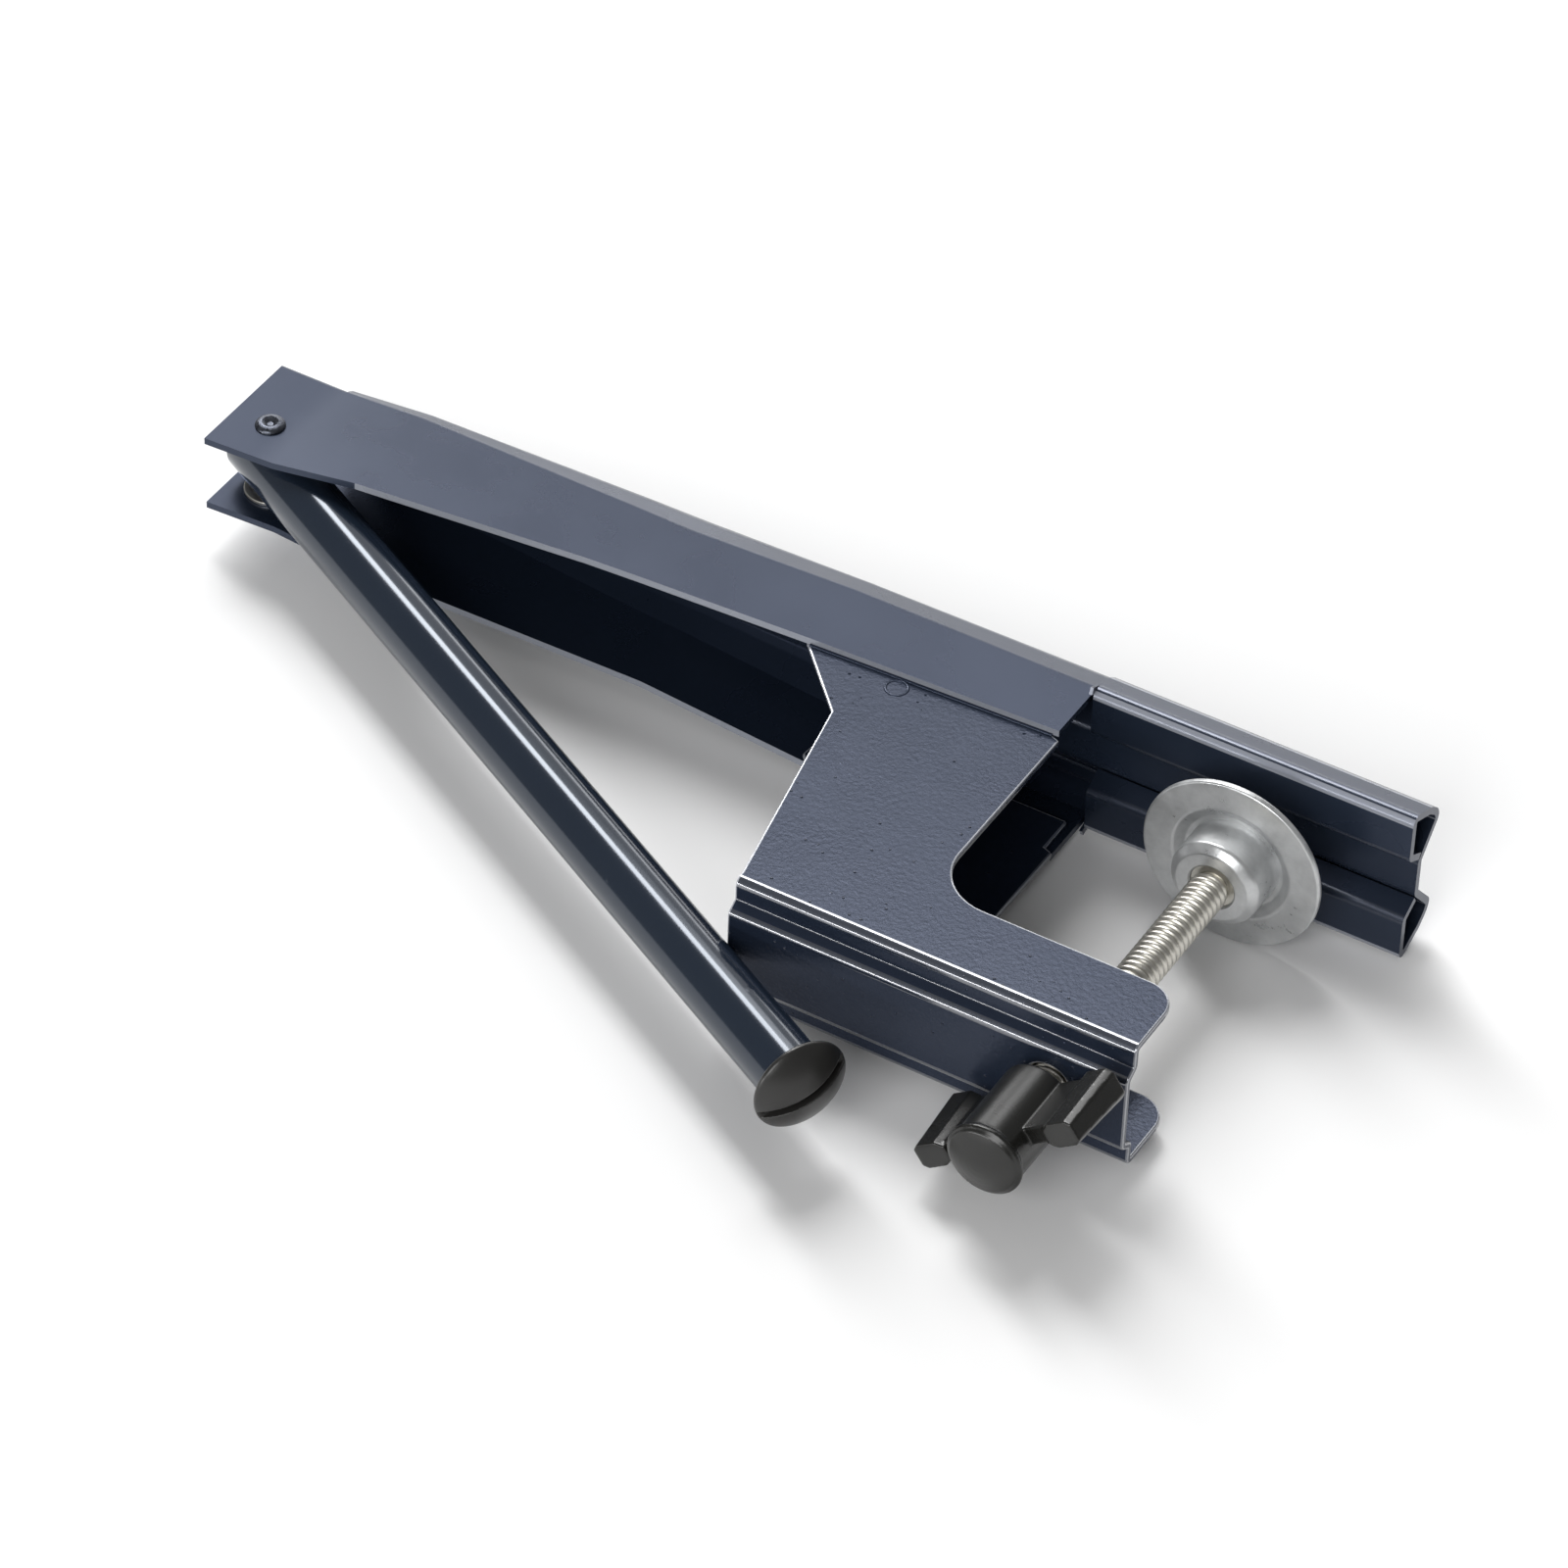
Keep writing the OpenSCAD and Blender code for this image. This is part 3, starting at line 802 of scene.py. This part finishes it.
def makeArm():
    obj = armWalled()
    neck = armJaw("jawNeck", arm["wallEnd"] - arm["overlap"], arm["throatX"] + arm["overlap"], False)
    combine(obj, neck, "UNION")
    combine(obj, armJaw("jaw", arm["throatX"], arm["reach"], True), "UNION")
    gap = arm["pivotHalf"] - arm["sheet"]
    back, top, side = arm["cutFrom"], arm["cutTop"], arm["cutHalf"]
    combine(obj, block("armNotch", (back, 0, -gap), (arm["webX"], top, gap)), "DIFFERENCE")
    combine(obj, block("earCut", (back, arm["earTop"], -side), (arm["webX"], top, side)), "DIFFERENCE")
    drill(obj, arm["rivetHole"], -top, top, pivot, alongZ)
    tidyFlats(obj)
    finishPiece(obj, "frame", armPaint, "arm_paint", "arm_channel")


# The bracket is a folded plate that hangs from the arm and carries the screw
bracket = {
    "half": 11.95,
    "sheet": 1.2,
    "bend": 1.4,
    "bendSteps": 7,
    "rows": 16,
    "depth": 56.3,
    "tuck": 4,
    "ear": (101.6, -4.4),
    "earLean": 1,
    "notch": (113, -16.2),
    "rearX": 120.3,
    "rearFoot": 2,
    "endX": 187.7,
    "lowerTop": -42.5,
    "cornerRadius": 5,
    "cornerSteps": 14,
    "throatX": 145.5,
    "throatRadius": 9,
    "throatSteps": 18,
    "throatLip": ((0, -3.5), (-1.5, -3)),
    "ribDepth": 2,
    "ribRoot": 8.2,
    "ribFloor": 6.9,
    "ribBend": 1.5,
    "hole": 3.7,
    "holeFrom": -70,
    "holeTo": -50,
    "edge": 0.35,
    "spare": 1,  # how far the folded sheet runs past its outline
    "cutHalf": 16,
}


# The plates' outline from the side, with the floor and the rib inside it
def bracketOutline():
    b = bracket
    floorY = -b["depth"]
    below = floorY - b["ribDepth"] - b["spare"]
    corner, throat = b["cornerRadius"], b["throatRadius"]
    lip = [(b["throatX"] + x, y) for x, y in b["throatLip"]]
    outline = [(b["ear"][0] + b["earLean"], b["tuck"]), b["ear"], b["notch"]]
    outline += [(b["rearX"], floorY + b["rearFoot"]), (b["rearX"], below), (b["endX"], below)]
    outline += arcPoints(b["endX"] - corner, b["lowerTop"] - corner, corner, 0, 90, b["cornerSteps"])
    outline += arcPoints(b["throatX"] + throat, b["lowerTop"] + throat, throat, 270, 180, b["throatSteps"])
    return outline + lip + [(lip[-1][0], b["tuck"])]


def makeBracket():
    b = bracket
    floorY = -b["depth"]
    side = [(-b["half"], b["tuck"] + b["spare"]), (-b["half"], floorY), (-b["ribRoot"], floorY)]
    side += [(-b["ribFloor"], floorY - b["ribDepth"])]
    radii = [0, b["bend"], b["ribBend"], b["ribBend"]]
    start, end = b["ear"][0] - b["spare"], b["endX"] + b["spare"]
    xs = [mix(start, end, k / b["rows"]) for k in range(b["rows"] + 1)]
    obj = loft("clampBracket", [sheetRing(x, side, radii, b["sheet"], b["bendSteps"]) for x in xs])
    combine(obj, prism("bracketOutline", bracketOutline(), -b["cutHalf"], b["cutHalf"]), "INTERSECT")
    drill(obj, b["hole"], b["holeFrom"], b["holeTo"], at(screwX, 0), alongY)
    roundEdges(obj, b["edge"])
    finishPiece(obj, "frame", bracketPaint, "bracket_paint", "clamp_bracket")


# A round bead along (x, y) points, with filled ends where it isn't a ring
def bead(name, points, radius, closed=False):
    curve = bpy.data.curves.new(name, "CURVE")
    curve.dimensions = "3D"
    curve.bevel_depth = radius * mm
    curve.bevel_resolution = 4
    curve.use_fill_caps = not closed
    line = curve.splines.new("POLY")
    line.points.add(len(points) - 1)
    line.use_cyclic_u = closed
    for spot, point in zip(line.points, points):
        spot.co = (*(Vector((*point, 0)) * mm), 1)
    path = link(name, curve)
    made = link(name + "Mesh", builtMesh(path))
    bpy.data.objects.remove(path)
    return made


# What the bracket has on both of its plates: a spot weld's ring and the paint that fills the seam
seams = {
    "bead": 0.3,
    "weldAt": (118.7, -6.3),
    "weldRadius": 1.75,
    "weldSunk": 0.165,
    "seamEnds": ((102.5, -4.8), (144, -3.05)),
    "seamProud": 0.02,
}


def makeSeams(tree):
    s = seams
    half = bracket["half"]
    ring = bead("weldRing", arcPoints(0, 0, s["weldRadius"], 0, 350, steps=35), s["bead"], True)
    fillet = bead("seam", s["seamEnds"], s["bead"])
    welds = onBothSides("spotWelds", tree, ring, at(*s["weldAt"]), half - s["weldSunk"], bracketPaint)
    fillets = onBothSides("seamFillets", tree, fillet, pivot, half + s["seamProud"], bracketPaint)
    for obj in (welds, fillets):
        finishPiece(obj, "frame", bracketPaint, "bracket_paint")


pivotParts = {
    "shank": 1.7,
    "head": ((2.5, 0), (2.5, 0.2), (2.3, 0.5), (1.9, 0.8), (1.35, 0.88), (0.85, 0.62), (0.5, 0.32), (0, 0.3)),
    "headSunk": 0.1,
    "washer": 4.5,
    "washerHole": 1.75,
    "chamfer": 0.1,
    "gap": 0.06,
}


def makeRivet(tree):
    p = pivotParts
    half = arm["pivotHalf"]
    head = lathe("rivetHead", [(0, -p["headSunk"]), *p["head"]], Vector(), alongZ, steps=40)
    heads = onBothSides("rivetHeads", tree, head, pivot, half, rivetSteel)
    profile = [(0, -half), (p["shank"], -half), (p["shank"], half), (0, half)]
    shank = lathe("pivotRivet", profile, pivot, alongZ, steps=48)
    finishPiece(joined(shank, heads), "frame", rivetSteel, "rivet_steel", "pivot_rivet")


def makeWashers():
    p = pivotParts
    low, top = post["radius"] + p["gap"], arm["pivotHalf"] - arm["sheet"]
    hole, rim, ease = p["washerHole"], p["washer"], p["chamfer"]
    ring = [(hole, low), (rim - ease, low), (rim, low + ease), (rim, top - ease), (rim - ease, top)]
    ring += [(hole, top), (hole, low)]
    upper = lathe("pivotWashers", ring, pivot, alongZ, steps=64)
    lower = lathe("lowWasher", ring, pivot, -alongZ, steps=64)
    finishPiece(joined(upper, lower), "frame", screwSteel, "screw_steel", "pivot_washers")


screw = {
    "radius": 3.175,
    "pitch": 1.27,
    "depth": 0.55,
    "rowsPerTurn": 8,
    "sides": 41,
    "end": -72.5,
    "neck": 2.575,
    "neckSunk": 0.5,
    "head": ((-0.1, 0), (0, 0.1), (-0.4, 0.7), (-0.6, 0.8)),  # from the rod's radius and the ball's top
    "ball": 5,
    "ballTop": 2,
    "ballBottom": 3.3,
    "gap": 0.06,
    "nutChamfer": 0.7,
}


def makeScrew(tree):
    s = screw
    shoulder = ballY - s["ballBottom"] - s["gap"]
    length = shoulder - s["end"]
    rod = runTree("clampScrew", tree, {
        "Length": length * mm,
        "Pitch": s["pitch"] * mm,
        "Radius": s["radius"] * mm,
        "Depth": s["depth"] * mm,
        "Rows": round((length / s["pitch"] + 1) * s["rowsPerTurn"]) + 1,
        "Sides": s["sides"],
        "Material": screwSteel,
    })
    stand = alongZ.rotation_difference(alongY).to_matrix().to_4x4()
    rod.data.transform(Matrix.Translation(at(screwX, s["end"])) @ stand)
    headY = ballY + s["ballTop"] + s["gap"]
    head = [(s["radius"] + out, headY + up) for out, up in s["head"]]
    start = shoulder - s["neckSunk"]
    profile = [(0, start), (s["neck"], start), (s["neck"], headY), *head, (0, head[-1][1])]
    joined(rod, lathe("screwNeck", profile, at(screwX, 0), alongY, steps=64))
    finishPiece(rod, "screw", screwSteel, "screw_steel", "clamp_screw", shade=50)


def makeBall():
    s = screw
    top, bottom = ballY + s["ballTop"], ballY - s["ballBottom"]
    start = -math.degrees(math.asin(s["ballBottom"] / s["ball"]))
    end = math.degrees(math.asin(s["ballTop"] / s["ball"]))
    bore = s["neck"] + s["gap"]
    sphere = arcPoints(0, ballY, s["ball"], start, end, steps=20)
    profile = [(bore, bottom), *sphere, (bore, top), (bore, bottom)]
    ball = lathe("swivelBall", profile, at(screwX, 0), alongY, steps=72)
    finishPiece(ball, "carriage", screwSteel, "screw_steel", "swivel_ball")


def makeNut():
    nut = roundEdges(fromNode("weldNut", "weld_nut"), screw["nutChamfer"], 60)
    finishPiece(nut, "frame", screwSteel, "screw_steel", "weld_nut")


pad = {
    "radius": 15,
    "top": 0.3,
    "sheet": 1.2,
    "rise": 1.2,
    "middle": 8.5,
    "slope": (1.6, 1.5, -0.2),  # out from the middle: the face's foot, then the back's foot and top
    "discBends": (0, 0.8, 0.8, 0.4, 0.4, 1.2, 0.8, 0),
    "hub": 7.48,
    "hubHeight": 7.3,
    "hubChamfer": (1.38, 1.1),
    "hubBends": (0, 0.9, 0.7, 0.15, 0),
    "lip": (0.3, 0.05, 0.3),  # the mouth's lip: its width, its rise and where the socket starts
    "mouth": 3.75,
    "socket": 5.1,
}


def makeDisc():
    p = pad
    r, m, t, top = p["radius"], p["middle"], p["sheet"], p["top"]
    low, under = top - p["rise"], top - t
    foot, backFoot, backTop = (m + out for out in p["slope"])
    corners = [(0, top), (m, top), (foot, low), (r, low)]
    corners += [(r, low - t), (backFoot, low - t), (backTop, under), (0, under)]
    profile = rounded([Vector(c) for c in corners], p["discBends"], steps=5)
    disc = lathe("pressureDisc", profile, at(screwX, 0), alongY, steps=128)
    finishPiece(disc, "pad", zincPlate, "zinc", "pressure_disc")


def makeHub():
    p = pad
    under = p["top"] - p["sheet"]
    foot = under - p["hubHeight"]
    chamferX, chamferY = p["hubChamfer"]
    lipWidth, lipRise, socketRise = p["lip"]
    corners = [(p["hub"], under), (p["hub"], foot + chamferY), (p["hub"] - chamferX, foot + lipRise)]
    corners += [(p["mouth"] + lipWidth, foot + lipRise), (p["mouth"], foot + socketRise)]
    body = rounded([Vector(c) for c in corners], p["hubBends"], steps=5)
    hollow = math.degrees(math.acos(p["mouth"] / p["socket"]))
    socket = arcPoints(0, ballY, p["socket"], -hollow, 90, steps=24)
    hub = lathe("swivelHub", [(0, under), *body, *socket], at(screwX, 0), alongY, steps=128)
    finishPiece(hub, "pad", zincPlate, "zinc", "swivel_hub")


knob = {
    "voxel": 0.2,
    "easing": 5,
}


def makeKnob():
    obj = moulded(fromNode("wingKnob", "wing_knob"), knob)
    finishPiece(obj, "screw", knobPlastic, "knob_plastic", "wing_knob", shade=80)


post = {
    "fold": 28.235,
    "radius": 5.25,
    "wall": 1,
    "length": 163.3,
    "back": 5.5,
    "backEase": 0.25,
    "endEase": 0.3,
    "rows": 40,
    "hole": 1.76,
    "holeHalf": 20,
}


def postAxis():
    fold = math.radians(post["fold"])
    return Vector((math.cos(fold), -math.sin(fold), 0))


def makeTube():
    p = post
    r, inner, end = p["radius"], p["radius"] - p["wall"], p["length"]
    back, start = -p["back"], p["backEase"] - p["back"]
    profile = [(inner, start), (inner + p["backEase"], back), (r - p["backEase"], back), (r, start)]
    for k in range(1, p["rows"] + 1):
        profile.append((r, mix(start, end - p["endEase"], k / p["rows"])))
    profile += [(r - p["endEase"], end), (inner, end), (inner, start)]
    tube = lathe("netTube", profile, pivot, postAxis())
    drill(tube, p["hole"], -p["holeHalf"], p["holeHalf"], pivot, alongZ)
    finishPiece(tube, "post", tubePaint, "post_paint", "net_tube")


cap = {
    "radius": 7.7,
    "height": 4.1,
    "dome": 11,
    "domeIn": 0.5,
    "underRise": 0.35,
    "rim": 0.9,
    "bends": (0, 0.3, 0, 0.3, 0.4, 0.5, 0),
    "plug": 4.2,
    "plugDepth": 12,
    "slot": 1.5,
    "slotDepth": 3.2,
    "slotTurn": 21,
    "cutter": (40, 8),  # length and height, well past the cap
    "voxel": 0.15,
    "easing": 3,
}


# The cord slot's cutter, turned about the post
def capSlot(axis):
    c = cap
    turn = math.radians(c["slotTurn"])
    way = axis.cross(alongZ) * math.cos(turn) - alongZ * math.sin(turn)
    side = axis.cross(way)
    long, high = c["cutter"]
    floor = post["length"] + c["height"] - c["slotDepth"]
    bm = bmesh.new()
    bmesh.ops.create_cube(bm, size=1)
    for vert in bm.verts:
        x, y, z = vert.co
        vert.co = pivot + (axis * (floor + (z + 0.5) * high) + way * x * long + side * y * c["slot"]) * mm
    return fromBmesh("capSlot", bm)


def makeCap():
    c = cap
    axis = postAxis()
    rim, domeRim = c["radius"], c["radius"] - c["domeIn"]
    domeY = c["height"] - c["dome"]
    start = math.acos(domeRim / c["dome"])
    corners = [(0, -c["plugDepth"]), (c["plug"], -c["plugDepth"]), (c["plug"], 0), (domeRim, 0)]
    corners += [(rim, c["underRise"]), (rim, c["rim"]), (domeRim, domeY + c["dome"] * math.sin(start))]
    body = rounded([Vector(p) for p in corners], c["bends"], steps=4)[:-1]
    dome = arcPoints(0, domeY, c["dome"], math.degrees(start), 90, steps=14)[:-1]
    profile = [*body, *dome, (0, c["height"])]
    obj = lathe("tubeCap", profile, pivot + axis * post["length"] * mm, axis, steps=128)
    combine(obj, capSlot(axis), "DIFFERENCE")
    moulded(obj, c)
    finishPiece(obj, "post", capPlastic, "cap_plastic", "tube_cap", shade=80)


makeArm()
makeBracket()
bothSides = pairTree()
makeSeams(bothSides)
makeRivet(bothSides)
makeWashers()
makeScrew(threadTree())
makeBall()
makeNut()
makeDisc()
makeHub()
makeKnob()
makeTube()
makeCap()


studio = {
    "floorColour": (0.93, 0.93, 0.93, 1),
    "floorRoughness": 0.9,
    "floorHalf": 3,
    "worldStrength": 0.22,
    "lights": [
        # name, direction from the part, radiance, width and length, the way its length runs
        ("keyStrip", (-0.515, 0.414, 0.75), 14, (0.36, 1.5), (0.88, -0.47, 0)),
        ("backPanel", (-0.37, 0.66, 0.65), 0.8, (1.1, 1.7), (0.88, -0.47, 0)),
        ("sidePanel", (-0.248, 0.537, 0.804), 4, (0.5, 0.6), (0.88, -0.47, 0)),
        ("backLow", (-0.37, 0.92, 0.12), 3, (0.25, 1.8), (0.88, -0.47, 0)),
        ("backStrip", (-0.263, 0.883, 0.388), 4, (0.2, 1.6), (0.88, -0.47, 0)),
        ("frontStrip", (-0.37, -0.88, 0.12), 16, (0.12, 1.4), (0.92, -0.39, 0)),
        ("frontPanel", (0.1, -0.85, 0.5), 6, (0.9, 0.9), (1, 0, 0)),
    ],
    "lightDistance": 1.8,
    "azimuth": 29.59,
    "elevation": 41.62,
    "roll": 1.99,
    "distance": 1.099,
    "lens": 165.6,
    "aim": (95, -25),
    "aimRight": 13.13,
    "aimUp": -3.63,
}


def addStrip(name, direction, radiance, size, way):
    light = bpy.data.lights.new(name, "AREA")
    light.shape = "RECTANGLE"
    light.size, light.size_y = size
    light.energy = radiance * math.pi * size[0] * size[1]
    back = Vector(direction).normalized()
    up = (Vector(way) - back * Vector(way).dot(back)).normalized()
    turn = Matrix((up.cross(back), up, back)).transposed().to_4x4()
    obj = link(name, light)
    obj.matrix_world = Matrix.Translation(at(*studio["aim"]) + back * studio["lightDistance"]) @ turn


def makeStudio():
    bm = bmesh.new()
    bmesh.ops.create_grid(bm, x_segments=1, y_segments=1, size=studio["floorHalf"])
    floor = fromBmesh("floor", bm)
    material, *_, shader = newMaterial("floorPaper")
    shader.inputs["Base Color"].default_value = studio["floorColour"]
    shader.inputs["Roughness"].default_value = studio["floorRoughness"]
    floor.data.materials.append(material)
    world = bpy.data.worlds.new("studio")
    bpy.context.scene.world = world
    world.use_nodes = True
    background = world.node_tree.nodes["Background"]
    background.inputs["Color"].default_value = (1, 1, 1, 1)
    background.inputs["Strength"].default_value = studio["worldStrength"]
    for strip in studio["lights"]:
        addStrip(*strip)
    print("studio ready")


def makeCamera():
    az, el, roll = (math.radians(studio[k]) for k in ("azimuth", "elevation", "roll"))
    back = Vector((math.sin(az) * math.cos(el), -math.cos(az) * math.cos(el), math.sin(el)))
    right = Vector((math.cos(az), math.sin(az), 0))
    up = back.cross(right)
    right, up = right * math.cos(roll) + up * math.sin(roll), up * math.cos(roll) - right * math.sin(roll)
    aim = at(*studio["aim"]) + (right * studio["aimRight"] + up * studio["aimUp"]) * mm
    data = bpy.data.cameras.new("camera")
    data.sensor_width = 36  # in millimetres, as the lens
    data.lens = studio["lens"]
    data.clip_start = 0.01
    camera = link("camera", data)
    turn = Matrix((right, up, back)).transposed().to_4x4()
    camera.matrix_world = Matrix.Translation(aim + back * studio["distance"]) @ turn
    bpy.context.scene.camera = camera


makeStudio()
makeCamera()
bpy.context.scene.view_settings.view_transform = "Standard"
